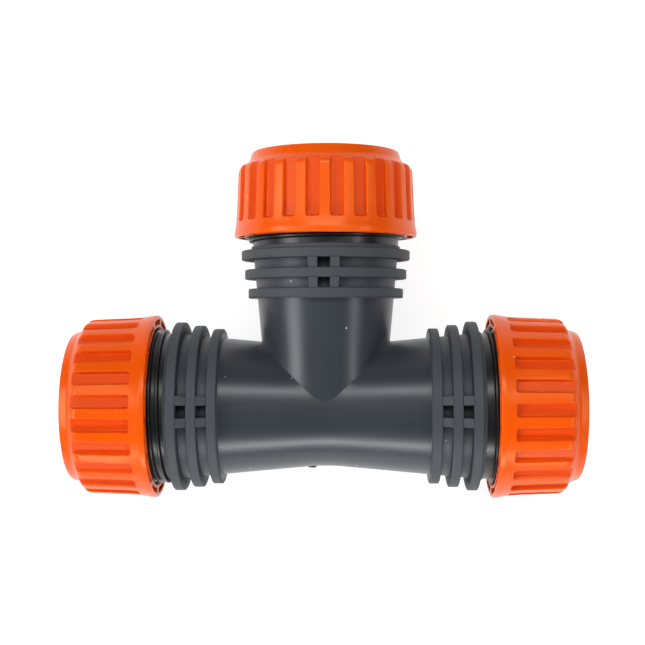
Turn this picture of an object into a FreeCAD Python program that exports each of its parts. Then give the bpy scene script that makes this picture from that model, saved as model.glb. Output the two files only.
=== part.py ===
"""Compression tee for 25 mm polyethylene pipe: a moulded body with three screw nuts.

Frame: millimetres, origin where the three port axes meet, +X and -X along the run, +Y along
the branch, +Z square to both.  Each port is an arm.  An arm's own frame has +X out of its
mouth and +Z as in the tee, so the arms differ only by a turn about Z.
"""
import FreeCAD, Part
import math
import os

import Sketcher
from FreeCAD import Placement, Rotation, Vector

# Driving dimensions in millimetres and degrees.  "Reach" is a distance out from the origin
# along an arm, "depth" a distance outward from a nut's inner edge.
DIMENSIONS = {
    # body, outside
    "hub_rad": 17.0,
    "hub_blend": 60.0,
    "cone_rise": 0.091,
    "rib_first": 29.55,
    "rib_wide": 2.7,
    "rib_pitch": 5.46,
    "rib_rad": 22.35,
    "rib_step": 0.975,
    "rib_round": 0.35,
    "collar_end": 44.3,
    "collar_rad": 21.45,
    "body_end": 57.0,
    "mouth_bevel": 0.7,
    "branch_extra": 1.57,
    "gate_place": -4.0,
    "gate_rad": 1.2,
    "gate_tall": 17.8,
    "bridge_seat": 18.5,
    "bridge_angle": 20.9,
    "window_angle": 8.5,
    # body, inside
    "waterway_rad": 10.25,
    "branch_waterway_rad": 9.9,
    "stop_reach": 17.5,
    "socket_rad": 12.75,
    "seat_reach": 41.0,
    "seat_rad": 16.9,
    # thread
    "thread_lead": 2.15,
    "thread_core": 21.0,
    "thread_crest": 22.2,
    "tooth_root": 1.2,
    "tooth_tip": 0.5,
    "tooth_bury": 0.12,
    "thread_first": 43.8,
    # nut, outside
    "nut_long": 24.4,
    "flare_rad": 26.3,
    "flare_flat": 1.4,
    "flare_sweep": 60.0,
    "skirt_depth": 10.3,
    "skirt_rad": 25.45,
    "shoulder_depth": 18.7,
    "shoulder_rad": 25.1,
    "nose_depth": 20.2,
    "nose_top_rad": 24.4,
    "step_depth": 20.8,
    "step_rad": 23.05,
    "neck_depth": 22.0,
    "neck_rad": 21.95,
    "tip_rad": 21.15,
    "shoulder_sweep": 2.2,
    "step_sweep": 2.4,
    "edge_round": 0.6,
    "tip_round": 0.35,
    # nut, grip recesses
    "recess_start": 4.35,
    "recess_wide": 3.5,
    "recess_floor": 24.5,
    "recess_slope": 1.7,
    "recess_corner": 0.6,
    "recess_count": 24,
    # nut, inside
    "pocket_inner": 23.55,
    "pocket_outer": 25.2,
    "pocket_deep": 3.4,
    "pocket_web": 5.5,
    "pocket_count": 14,
    "bore_rad": 22.5,
    "bore_bevel": 0.6,
    "ridge_crest": 21.3,
    "ridge_first": 1.7,
    "ridge_long": 9.4,
    "bore_deep": 13.0,
    "cone_start": 14.0,
    "cone_big": 20.7,
    "cone_end": 23.2,
    "cone_small": 16.6,
    "mouth_rad": 13.3,
    # pieces held by the nut and the body, by depth in the nut
    "ring_start": 14.5,
    "ring_end": 22.9,
    "ring_gap": 0.33,
    "ring_tooth_rad": 12.65,
    "ring_valley_rad": 13.65,
    "ring_teeth": 5,
    "ring_split": 4.0,
    "bush_start": 1.0,
    "bush_long": 13.2,
    "bush_rad": 16.55,
    "bush_bore": 12.75,
    "bush_flange": 1.5,
    "bush_flange_rad": 19.4,
    "seal_rad": 14.72,
    "seal_thick": 2.1,
    "seal_gap": 0.05,
    # where the nuts stand: gap from the outer rib, and turn of the grip recesses
    "left_gap": 5.33,
    "right_gap": 4.28,
    "branch_gap": 3.96,
    "left_roll": 6.6,
    "right_roll": -1.25,
    "branch_roll": 8.4,
    "left_turn": 180.0,
    "right_turn": 0.0,
    "branch_turn": 90.0,
}

ARMS = ("left", "right", "branch")
RIBS = 3

doc = FreeCAD.newDocument("tee")
sheet = doc.addObject("Spreadsheet::Sheet", "dims")
for row, (word, number) in enumerate(DIMENSIONS.items(), start=1):
    sheet.set(f"A{row}", word)
    sheet.set(f"B{row}", str(number))
    sheet.setAlias(f"B{row}", word)
doc.recompute()


class Size:
    """A length worked out from the sheet: the expression that drives it, and its value now."""

    def __init__(self, text, value):
        self.text = text
        self.value = value

    def __add__(self, other):
        other = as_size(other)
        return Size(f"({self.text} + {other.text})", self.value + other.value)

    def __sub__(self, other):
        other = as_size(other)
        return Size(f"({self.text} - {other.text})", self.value - other.value)

    def __mul__(self, other):
        other = as_size(other)
        return Size(f"({self.text} * {other.text})", self.value * other.value)

    def __truediv__(self, other):
        other = as_size(other)
        return Size(f"({self.text} / {other.text})", self.value / other.value)

    def __neg__(self):
        return Size(f"(0 - {self.text})", -self.value)

    def __rtruediv__(self, other):
        return as_size(other) / self

    __rmul__ = __mul__
    __radd__ = __add__


def as_size(thing):
    """A plain number as a Size; a Size as it is."""
    if isinstance(thing, Size):
        return thing
    return Size(repr(float(thing)), float(thing))


def dim(word):
    """The sheet's cell of that alias."""
    return Size(f"dims.{word}", float(sheet.get(word)))


def bind(thing, prop, size):
    """Drive one property of a document object by a Size."""
    thing.setExpression(prop, as_size(size).text)


# ---------------------------------------------------------------- sketches and features


def sketch_on(body, role, name, shift=None, tilt=None):
    """A new sketch on one of the body's own origin planes, optionally moved off it."""
    sketch = body.newObject("Sketcher::SketchObject", name)
    plane = next(f for f in body.Origin.OriginFeatures if f.Role == role)
    sketch.AttachmentSupport = [(plane, "")]
    sketch.MapMode = "FlatFace"
    if tilt is not None:
        sketch.AttachmentOffset = Placement(Vector(), Rotation(Vector(0, 1, 0), tilt.value))
        bind(sketch, "AttachmentOffset.Rotation.Angle", tilt)
    if shift is not None:
        bind(sketch, "AttachmentOffset.Base.z", shift)
    return sketch


def pin(sketch, index, end, corner):
    """Fix one end of a sketch edge at its corner, and the radius of an arc that leaves it."""
    sizes = [("DistanceX", as_size(corner[0])), ("DistanceY", as_size(corner[1]))]
    for kind, size in sizes:
        number = sketch.addConstraint(Sketcher.Constraint(kind, -1, 1, index, end, size.value))
        sketch.setExpression(f"Constraints[{number}]", size.text)
    if len(corner) == 3:
        radius = as_size(corner[2])
        size = radius if radius.value > 0 else -radius
        number = sketch.addConstraint(Sketcher.Constraint("Radius", index, size.value))
        sketch.setExpression(f"Constraints[{number}]", size.text)


def outline(sketch, corners):
    """Draw a closed outline.

    Each corner is (x, y), or (x, y, radius) when the edge that leaves it is an arc of that
    radius: positive bulges to the left of the way round, negative to the right.
    """
    points = [Vector(as_size(c[0]).value, as_size(c[1]).value, 0) for c in corners]
    edges = []
    for number, corner in enumerate(corners):
        here, there = points[number], points[(number + 1) % len(points)]
        if len(corner) == 3:
            edges.append(arc_between(here, there, as_size(corner[2]).value))
        else:
            edges.append(Part.LineSegment(here, there))
    first = sketch.GeometryCount
    sketch.addGeometry(edges)
    starts = [near_end(sketch, first + n, point) for n, point in enumerate(points)]
    for number, corner in enumerate(corners):
        index, before = first + number, (number - 1) % len(corners)
        last_end = 3 - starts[before]
        joint = Sketcher.Constraint("Coincident", first + before, last_end, index, starts[number])
        sketch.addConstraint(joint)
    for number, corner in enumerate(corners):
        pin(sketch, first + number, starts[number], corner)


def near_end(sketch, index, point):
    """Which end of a sketch edge, 1 or 2, lies at the point."""
    edge = sketch.Geometry[index]
    return 1 if edge.StartPoint.distanceToPoint(point) < edge.EndPoint.distanceToPoint(point) else 2


def arc_between(here, there, radius):
    """An arc from here to there; a positive radius bulges to the left of the way."""
    chord = there - here
    left = Vector(-chord.y, chord.x, 0).normalize()
    rise = abs(radius) - math.sqrt(radius**2 - chord.Length**2 / 4)
    middle = (here + there) * 0.5 + left * math.copysign(rise, radius)
    return Part.Arc(here, middle, there)


def add(body, kind, name, profile, **settings):
    """Add a feature to a body from a profile sketch; Size values are bound, others set."""
    feature = body.newObject(kind, name)
    feature.Profile = profile
    for prop, value in settings.items():
        if isinstance(value, Size):
            bind(feature, prop, value)
        else:
            setattr(feature, prop, value)
    finish(body, feature)
    return feature


def finish(body, feature):
    """Recompute a new feature, stop if it failed, and make it the body's tip."""
    doc.recompute()
    if "Invalid" in feature.State or feature.Shape.isNull():
        raise RuntimeError(f"{body.Label}: {feature.Name} failed: {feature.getStatusString()}")
    body.Tip = feature


def cut(body, kind, name, profile, **settings):
    """Cut a body with a feature, and stop if that took nothing away."""
    before = body.Tip.Shape.Volume
    feature = add(body, kind, name, profile, **settings)
    if feature.Shape.Volume >= before - 0.01:
        raise RuntimeError(f"{name} cut nothing")
    return feature


def new_body(name):
    """A new body whose Label names its file."""
    body = doc.addObject("PartDesign::Body", name)
    body.Label = name
    return body


def round_circles(body, name, radii, size, where=None):
    """Fillet every circular edge of the body's last feature whose radius is listed."""
    last = body.Tip
    edges = []
    for number, edge in enumerate(last.Shape.Edges, start=1):
        circle = edge.Curve
        if circle.TypeId != "Part::GeomCircle":
            continue
        if any(abs(circle.Radius - r) < 1e-6 for r in radii) and (where is None or where(circle)):
            edges.append(f"Edge{number}")
    fillet = body.newObject("PartDesign::Fillet", name)
    fillet.Base = (last, edges)
    bind(fillet, "Radius", size)
    finish(body, fillet)
    return fillet


# ---------------------------------------------------------------- the tee's body


def rib_face(rib, outer):
    """Reach of a rib's inner or outer face; rib 0 is the one nearest the hub."""
    return dim("rib_first") + rib * dim("rib_pitch") + (dim("rib_wide") if outer else 0.0)


def rib_tip(rib):
    """Radius of a rib's rim."""
    return dim("rib_rad") + rib * dim("rib_step")


def cone_at(reach):
    """Radius of the body's cone at a reach."""
    return dim("hub_rad") + dim("cone_rise") * reach


def arm_outside():
    """Corners of an arm's outside from the first rib to the mouth, as (reach, radius)."""
    corners = []
    for rib in range(RIBS):
        inner, outer = rib_face(rib, False), rib_face(rib, True)
        corners.append((inner, cone_at(inner)))
        corners.append((inner, rib_tip(rib)))
        corners.append((outer, rib_tip(rib)))
        corners.append((outer, cone_at(outer) if rib < RIBS - 1 else dim("collar_rad")))
    corners.append((dim("collar_end"), dim("collar_rad")))
    corners.append((dim("collar_end"), dim("thread_core")))
    corners.append((dim("body_end") - dim("mouth_bevel"), dim("thread_core")))
    corners.append((dim("body_end"), dim("thread_core") - dim("mouth_bevel")))
    return corners


def arm_inside(waterway):
    """Corners of an arm's bores from the waterway to the mouth, as (reach, radius)."""
    bevel = dim("mouth_bevel")
    return [
        (dim("stop_reach"), waterway),
        (dim("stop_reach"), dim("socket_rad")),
        (dim("seat_reach"), dim("socket_rad")),
        (dim("seat_reach"), dim("seat_rad")),
        (dim("body_end") - bevel, dim("seat_rad")),
        (dim("body_end"), dim("seat_rad") + bevel),
    ]


def shifted(corners, extra):
    """The same corners further out."""
    return [(reach + extra, radius) for reach, radius in corners]


def mirrored(corners):
    """The same corners on the far side of the origin, in reverse order."""
    return [(-reach, radius) for reach, radius in reversed(corners)]


def gap_corners(rib, side, extra, deep):
    """The gap between a rib and the next one out, above a radius, on one side of the axis."""
    inner, outer = rib_face(rib, True), rib_face(rib + 1, False)
    ring = [(inner, deep), (inner, rib_tip(rib)), (outer, rib_tip(rib + 1)), (outer, deep)]
    return [(reach + extra, radius * side) for reach, radius in ring]


def thread_start(arm):
    """Reach of the middle of the body's tooth where its helix starts, in mesh with the nut."""
    lead = dim("thread_lead")
    level = nut_edge(arm) + dim("ridge_first") - lead * dim(f"{arm}_roll") / 360 - lead / 2
    turns = math.floor((level.value - first_tooth(arm).value) / lead.value)
    return level - turns * lead


def first_tooth(arm):
    """The nearest reach at which an arm's thread may start."""
    return dim("thread_first") + arm_extra(arm)


def arm_extra(arm):
    """How much longer an arm is than the run's arms."""
    return dim("branch_extra") if arm == "branch" else as_size(0)


def nut_edge(arm):
    """Reach of the inner edge of an arm's nut."""
    return rib_face(RIBS - 1, True) + arm_extra(arm) + dim(f"{arm}_gap")


def thread_corners(level, base, tip):
    """A tooth's section: a wide root at radius base and a narrow crest at radius tip."""
    root, crest = dim("tooth_root") / 2, dim("tooth_tip") / 2
    return [(level - root, base), (level - crest, tip), (level + crest, tip), (level + root, base)]


def add_thread(body, arm, plane):
    """The helical thread on one arm, starting at the underside of the tee."""
    start = thread_start(arm)
    base = -(dim("thread_core") - dim("tooth_bury"))
    corners = thread_corners(start, base, -dim("thread_crest"))
    if arm == "left":
        corners = [(-reach, radius) for reach, radius in corners]
    sketch = sketch_on(body, plane, f"{arm}_tooth")
    outline(sketch, corners)
    reach = dim("body_end") + arm_extra(arm) - dim("mouth_bevel") - dim("tooth_root")
    return add(body, "PartDesign::AdditiveHelix", f"{arm}_thread", sketch,
               ReferenceAxis=(sketch, ["H_Axis"]), Mode=0, Reversed=arm == "left",
               Pitch=dim("thread_lead"), Height=reach - start)


def add_bores(body):
    """Bore the run from mouth to mouth, then the branch down into it."""
    end = dim("body_end")
    inside = arm_inside(dim("waterway_rad"))
    run = sketch_on(body, "XZ_Plane", "run_bores")
    outline(run, [(-end, 0)] + mirrored(inside) + inside + [(end, 0)])
    cut(body, "PartDesign::Groove", "run_bore", run, ReferenceAxis=(run, ["H_Axis"]), Angle=360.0)

    extra, narrow = dim("branch_extra"), dim("branch_waterway_rad")
    branch = sketch_on(body, "YZ_Plane", "branch_bores")
    outline(branch, [(0, 0), (0, narrow)] + shifted(arm_inside(narrow), extra) + [(end + extra, 0)])
    cut(body, "PartDesign::Groove", "branch_bore", branch,
        ReferenceAxis=(branch, ["H_Axis"]), Angle=360.0)


def add_bridges(body, arms, plane):
    """Two bars across each gap between ribs, above and below, with a window between them."""
    bars = sketch_on(body, plane, f"{arms[0]}_bars")
    windows = sketch_on(body, plane, f"{arms[0]}_windows")
    for arm in arms:
        for rib in range(RIBS - 1):
            for side in (1, -1):
                bar = gap_corners(rib, side, arm_extra(arm), dim("bridge_seat"))
                hole = gap_corners(rib, side, arm_extra(arm), cone_at(rib_face(rib, True)))
                if arm == "left":
                    bar, hole = mirrored(bar), mirrored(hole)
                outline(bars, bar)
                outline(windows, hole)
    add(body, "PartDesign::Revolution", f"{arms[0]}_bridges", bars,
        ReferenceAxis=(bars, ["H_Axis"]), Midplane=True, Angle=dim("bridge_angle"))
    cut(body, "PartDesign::Groove", f"{arms[0]}_openings", windows,
        ReferenceAxis=(windows, ["H_Axis"]), Midplane=True, Angle=dim("window_angle"))


def add_gate(body):
    """The cut-off stub, on the side away from the branch, where the plastic came in."""
    sketch = sketch_on(body, "XZ_Plane", "gate_mark")
    centre = dim("gate_place")
    ring = sketch.addGeometry(Part.Circle(Vector(centre.value, 0, 0), Vector(0, 0, 1), 1))
    pin(sketch, ring, 3, (centre, 0))
    number = sketch.addConstraint(Sketcher.Constraint("Radius", ring, dim("gate_rad").value))
    sketch.setExpression(f"Constraints[{number}]", dim("gate_rad").text)
    add(body, "PartDesign::Pad", "gate", sketch, Length=dim("gate_tall"))


def make_tee_body():
    """The one-piece moulded body: two cones back to back, a third for the branch, and ribs."""
    body = new_body("tee_body")
    end, hub = dim("body_end"), dim("hub_rad")
    run = sketch_on(body, "XZ_Plane", "run_outline")
    outline(run, [(-end, 0)] + mirrored(arm_outside()) + [(0, hub)] + arm_outside() + [(end, 0)])
    add(body, "PartDesign::Revolution", "run_shell", run,
        ReferenceAxis=(run, ["H_Axis"]), Angle=360.0)
    round_circles(body, "hub_round", [hub.value], dim("hub_blend"))

    extra = dim("branch_extra")
    branch = sketch_on(body, "YZ_Plane", "branch_outline")
    outline(branch, [(0, 0), (0, cone_at(-extra))] + shifted(arm_outside(), extra)
            + [(end + extra, 0)])
    add(body, "PartDesign::Revolution", "branch_shell", branch,
        ReferenceAxis=(branch, ["H_Axis"]), Angle=360.0)
    tips = [rib_tip(rib).value for rib in range(RIBS)]
    round_circles(body, "rib_rounds", tips, dim("rib_round"))

    add_gate(body)
    add_bridges(body, ("left", "right"), "XZ_Plane")
    add_bridges(body, ("branch",), "YZ_Plane")
    add_bores(body)
    for arm, plane in (("left", "XZ_Plane"), ("right", "XZ_Plane"), ("branch", "YZ_Plane")):
        add_thread(body, arm, plane)
    return body


# ---------------------------------------------------------------- what each port holds


def place(piece, arm, reach, turn=None):
    """Stand a piece on an arm at a reach, its own +X outward."""
    along = Placement(Vector(reach.value, 0, 0), turn or Rotation())
    around = Rotation(Vector(0, 0, 1), dim(f"{arm}_turn").value)
    piece.Placement = Placement(Vector(), around) * along


def nut_outline():
    """Corners of a nut's section, as (depth, radius), round from its inner edge."""
    bore, bevel, mouth = dim("bore_rad"), dim("bore_bevel"), dim("mouth_rad")
    return [
        (0, bore + bevel),
        (0, dim("flare_rad")),
        (dim("flare_flat"), dim("flare_rad"), -dim("flare_sweep")),
        (dim("skirt_depth"), dim("skirt_rad")),
        (dim("shoulder_depth"), dim("shoulder_rad"), dim("shoulder_sweep")),
        (dim("nose_depth"), dim("nose_top_rad")),
        (dim("step_depth"), dim("step_rad"), -dim("step_sweep")),
        (dim("neck_depth"), dim("neck_rad")),
        (dim("nut_long"), dim("tip_rad")),
        (dim("nut_long"), mouth + bevel),
        (dim("nut_long") - bevel, mouth),
        (dim("cone_end"), mouth),
        (dim("cone_end"), dim("cone_small")),
        (dim("cone_start"), dim("cone_big")),
        (dim("bore_deep"), bore),
        (bevel, bore),
    ]


def cone_inside(depth):
    """Radius of the cone inside a nut at a depth."""
    fall = (dim("cone_big") - dim("cone_small")) / (dim("cone_end") - dim("cone_start"))
    return dim("cone_big") - (depth - dim("cone_start")) * fall


def add_recesses(body):
    """Grip recesses round a nut, rounded at the band and open at the nose."""
    half, corner = dim("recess_wide") / 2, dim("recess_corner")
    near, far = dim("recess_start"), dim("nut_long")
    sketch = sketch_on(body, "XY_Plane", "recess", dim("recess_floor"), dim("recess_slope"))
    outline(sketch, [
        (far, half), (near + corner, half, -corner), (near, half - corner),
        (near, corner - half, -corner), (near + corner, -half), (far, -half),
    ])
    pocket = cut(body, "PartDesign::Pocket", "recess_cut", sketch, Type=1, Reversed=True)
    repeat(body, "recesses", pocket, "recess_count")


def add_rim_pockets(body):
    """Hollows in the rim between the skirt and the threaded sleeve, parted by webs."""
    sketch = sketch_on(body, "XZ_Plane", "rim_pocket")
    deep, low, high = dim("pocket_deep"), dim("pocket_inner"), dim("pocket_outer")
    outline(sketch, [(0, low), (0, high), (deep, high), (deep, low)])
    pocket = cut(body, "PartDesign::Groove", "rim_pocket_cut", sketch,
                 ReferenceAxis=(sketch, ["H_Axis"]), Midplane=True,
                 Angle=360 / dim("pocket_count") - dim("pocket_web"))
    repeat(body, "rim_pockets", pocket, "pocket_count")


def repeat(body, name, feature, count):
    """Repeat a cut evenly round the body's own X axis."""
    before = body.Tip.Shape.Volume
    pattern = body.newObject("PartDesign::PolarPattern", name)
    pattern.Originals = [feature]
    axis = next(f for f in body.Origin.OriginFeatures if f.Role == "X_Axis")
    pattern.Axis = (axis, [""])
    pattern.Angle = 360.0
    bind(pattern, "Occurrences", dim(count))
    body.Tip = pattern
    doc.recompute()
    if pattern.Shape.Volume >= before:
        raise RuntimeError(f"{name} repeated nothing")


def at_rim(circle):
    """Whether a circular edge lies at a nut's inner edge."""
    return abs(circle.Center.x) < 1e-6


def make_nut(arm):
    """A screw nut: flared band, gripping ribs, nose, and a thread inside."""
    body = new_body(f"{arm}_nut")
    section = sketch_on(body, "XZ_Plane", "section")
    outline(section, nut_outline())
    add(body, "PartDesign::Revolution", "shell", section,
        ReferenceAxis=(section, ["H_Axis"]), Angle=360.0)
    round_circles(body, "rim_round", [dim("flare_rad").value], dim("edge_round"), at_rim)
    round_circles(body, "tip_rounding", [dim("tip_rad").value], dim("tip_round"))
    add_rim_pockets(body)
    add_recesses(body)
    tooth = sketch_on(body, "XZ_Plane", "ridge")
    base = -(dim("bore_rad") + dim("tooth_bury"))
    outline(tooth, thread_corners(dim("ridge_first"), base, -dim("ridge_crest")))
    add(body, "PartDesign::AdditiveHelix", "thread", tooth, ReferenceAxis=(tooth, ["H_Axis"]),
        Mode=0, Pitch=dim("thread_lead"), Height=dim("ridge_long"))
    place(body, arm, nut_edge(arm), Rotation(Vector(1, 0, 0), dim(f"{arm}_roll").value))
    return body


def make_grip_ring(arm):
    """A split ring: a cone outside to suit the nut, saw teeth inside to bite the pipe."""
    body = new_body(f"{arm}_grip_ring")
    start, end, gap = dim("ring_start"), dim("ring_end"), dim("ring_gap")
    tip, valley, teeth = dim("ring_tooth_rad"), dim("ring_valley_rad"), dim("ring_teeth")
    corners = [(start, cone_inside(start) - gap), (end, cone_inside(end) - gap)]
    pitch = (end - start) / teeth
    for tooth in range(int(teeth.value)):
        corners.append((end - tooth * pitch, tip))
        corners.append((end - (tooth + 1) * pitch, valley))
    section = sketch_on(body, "XZ_Plane", "section")
    outline(section, corners)
    add(body, "PartDesign::Revolution", "ring", section,
        ReferenceAxis=(section, ["H_Axis"]), Angle=360.0)
    half = dim("ring_split") / 2
    split = sketch_on(body, "XY_Plane", "split")
    outline(split, [(start - 1, -half), (end + 1, -half), (end + 1, half), (start - 1, half)])
    cut(body, "PartDesign::Pocket", "split_cut", split, Type=1, Reversed=True)
    place(body, arm, nut_edge(arm))
    return body


def make_bush(arm):
    """The packing bush, which the grip ring presses onto the seal."""
    body = new_body(f"{arm}_bush")
    start, bore, outer, bevel = (
        dim("bush_start"), dim("bush_bore"), dim("bush_rad"), dim("mouth_bevel"))
    end = start + dim("bush_long")
    flange = end - dim("bush_flange")
    section = sketch_on(body, "XZ_Plane", "section")
    outline(section, [
        (start, bore), (start, outer - bevel), (start + bevel, outer), (flange, outer),
        (flange, dim("bush_flange_rad")), (end, dim("bush_flange_rad")), (end, bore),
    ])
    add(body, "PartDesign::Revolution", "bush", section,
        ReferenceAxis=(section, ["H_Axis"]), Angle=360.0)
    place(body, arm, nut_edge(arm))
    return body


def make_seal(arm):
    """The O-ring at the bottom of the body's seat."""
    seal = doc.addObject("Part::Torus", f"{arm}_seal")
    seal.Label = f"{arm}_seal"
    bind(seal, "Radius1", dim("seal_rad"))
    bind(seal, "Radius2", dim("seal_thick"))
    reach = dim("seat_reach") + arm_extra(arm) + dim("seal_thick") + dim("seal_gap")
    place(seal, arm, reach, Rotation(Vector(0, 1, 0), 90))
    return seal


# ---------------------------------------------------------------- build, check, write


def check(piece):
    """Stop if any of a sub-part's objects failed or its shape is not a sound solid."""
    for thing in [piece] + list(getattr(piece, "Group", [])):
        if "Invalid" in thing.State or "Error" in thing.State:
            raise RuntimeError(f"{piece.Label}: {thing.Name} is {thing.State}")
    shape = piece.Shape
    if shape.isNull() or not shape.isValid() or len(shape.Solids) != 1:
        raise RuntimeError(f"{piece.Label}: shape is null, not valid or not one solid")


def main():
    """Make every sub-part, check it and write it out."""
    pieces = [make_tee_body()]
    for arm in ARMS:
        pieces += [make_nut(arm), make_grip_ring(arm), make_bush(arm), make_seal(arm)]
    doc.recompute()
    os.makedirs("parts", exist_ok=True)
    for piece in pieces:
        check(piece)
    for piece in pieces:
        piece.Shape.exportStep(f"parts/{piece.Label}.step")
        box = piece.Shape.BoundBox
        print(f"{piece.Label}: volume {piece.Shape.Volume:.0f}, x {box.XMin:.2f} to {box.XMax:.2f}, "
              f"y {box.YMin:.2f} to {box.YMax:.2f}, z {box.ZMin:.2f} to {box.ZMax:.2f}")


main()
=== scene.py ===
"""A pipe tee with three screw nuts, dressed in moulded plastic and lit in a small studio.

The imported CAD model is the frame.  The three nuts are rebuilt here as finer meshes with
rounded ribs; every other piece is the CAD's own, with a finish of its own.  Sizes are in metres,
apart from those of ScrewNut, which are in millimetres.
"""

import logging
import math
from dataclasses import dataclass, field
from enum import Enum

import bmesh
import bpy
import numpy as np
from mathutils import Euler, Matrix, Vector


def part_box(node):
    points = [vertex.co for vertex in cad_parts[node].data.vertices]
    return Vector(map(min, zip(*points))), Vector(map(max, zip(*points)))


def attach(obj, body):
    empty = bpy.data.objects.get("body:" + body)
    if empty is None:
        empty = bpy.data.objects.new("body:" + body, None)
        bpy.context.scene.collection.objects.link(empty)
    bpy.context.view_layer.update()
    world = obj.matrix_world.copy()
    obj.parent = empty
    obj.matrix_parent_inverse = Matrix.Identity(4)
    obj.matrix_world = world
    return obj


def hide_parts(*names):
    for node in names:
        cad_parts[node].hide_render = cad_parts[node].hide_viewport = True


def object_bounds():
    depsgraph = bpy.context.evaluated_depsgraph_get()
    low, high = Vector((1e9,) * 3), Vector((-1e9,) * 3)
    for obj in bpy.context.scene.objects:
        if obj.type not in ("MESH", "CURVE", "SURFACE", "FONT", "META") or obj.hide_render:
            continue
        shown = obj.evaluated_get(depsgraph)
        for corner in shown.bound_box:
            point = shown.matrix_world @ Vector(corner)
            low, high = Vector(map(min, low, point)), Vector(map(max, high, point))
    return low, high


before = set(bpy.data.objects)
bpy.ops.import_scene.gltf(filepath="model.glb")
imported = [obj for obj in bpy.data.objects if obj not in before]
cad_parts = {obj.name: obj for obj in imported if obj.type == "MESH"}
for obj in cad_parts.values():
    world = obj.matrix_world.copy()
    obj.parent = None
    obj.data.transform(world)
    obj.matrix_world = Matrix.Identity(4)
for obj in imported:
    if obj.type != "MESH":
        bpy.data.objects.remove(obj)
CAD_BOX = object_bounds()
LOG = logging.getLogger("tee")
MM = 0.001
Colour = tuple[float, float, float]
Triple = tuple[float, float, float]
Corner = tuple[float, float, float]
Point = tuple[float, float]


class Arm(Enum):
    """An arm of the tee: its word in the CAD's names, and its turn about Z in radians."""

    LEFT = ("left", math.pi)
    RIGHT = ("right", 0.0)
    BRANCH = ("branch", math.pi / 2)

    @property
    def word(self) -> str:
        """The arm's word in the names of its nodes and bodies."""
        return self.value[0]

    @property
    def turn(self) -> Matrix:
        """The turn that points +X out of the arm's mouth."""
        return Matrix.Rotation(self.value[1], 4, "Z")


# ---------------------------------------------------------------- shader groups


class Wiring:
    """Adds and joins the nodes of one node tree."""

    def __init__(self, tree: bpy.types.NodeTree) -> None:
        """Start on an empty tree."""
        self.tree = tree
        tree.nodes.clear()

    def add(self, kind: str, feeds: dict[str | int, object] | None = None,
            **settings: object) -> bpy.types.Node:
        """Add a node.

        Args:
            kind: the node's type name.
            feeds: for each input, by name or number, a socket to join or a value to set.
            settings: properties of the node itself.

        Returns:
            The new node.
        """
        node = self.tree.nodes.new(kind)
        for word, value in settings.items():
            setattr(node, word, value)
        for key, value in (feeds or {}).items():
            if isinstance(value, bpy.types.NodeSocket):
                self.tree.links.new(value, node.inputs[key])
            else:
                node.inputs[key].default_value = value
        return node

    def maths(self, operation: str, *values: object, clamp: bool = False) -> bpy.types.NodeSocket:
        """The result of one Math node on sockets or numbers."""
        feeds = dict(enumerate(values))
        return self.add("ShaderNodeMath", feeds, operation=operation, use_clamp=clamp).outputs[0]

    def noise(self, where: object, scale: object, detail: float = 2.0,
              rough: float = 0.5) -> bpy.types.NodeSocket:
        """The value of a noise texture at a place, about 0 to 1."""
        feeds = {"Vector": where, "Scale": scale, "Detail": detail, "Roughness": rough}
        return self.add("ShaderNodeTexNoise", feeds).outputs["Fac"]

    def ramp(self, value: object, low: object, high: object) -> bpy.types.NodeSocket:
        """A smooth step.

        Args:
            value: what is looked at.
            low: where the step starts.
            high: where it ends; it may be the lower of the two, and then the step goes down.

        Returns:
            The socket that is 0 before the step and 1 after it.
        """
        feeds = {"Value": value, "From Min": low, "From Max": high}
        node = self.add("ShaderNodeMapRange", feeds, interpolation_type="SMOOTHSTEP")
        return node.outputs[0]

    def blend(self, share: object, first: object, second: object) -> bpy.types.NodeSocket:
        """Mix two colours.

        Args:
            share: how much of the second colour there is, 0 to 1.
            first: the colour at 0, as a socket or a value.
            second: the colour at 1, as a socket or a value.

        Returns:
            The mixed colour's socket.
        """
        node = self.add("ShaderNodeMix", data_type="RGBA")
        for index, value in ((0, share), (6, first), (7, second)):
            if isinstance(value, bpy.types.NodeSocket):
                self.tree.links.new(value, node.inputs[index])
            else:
                node.inputs[index].default_value = value
        return node.outputs[2]


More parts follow.
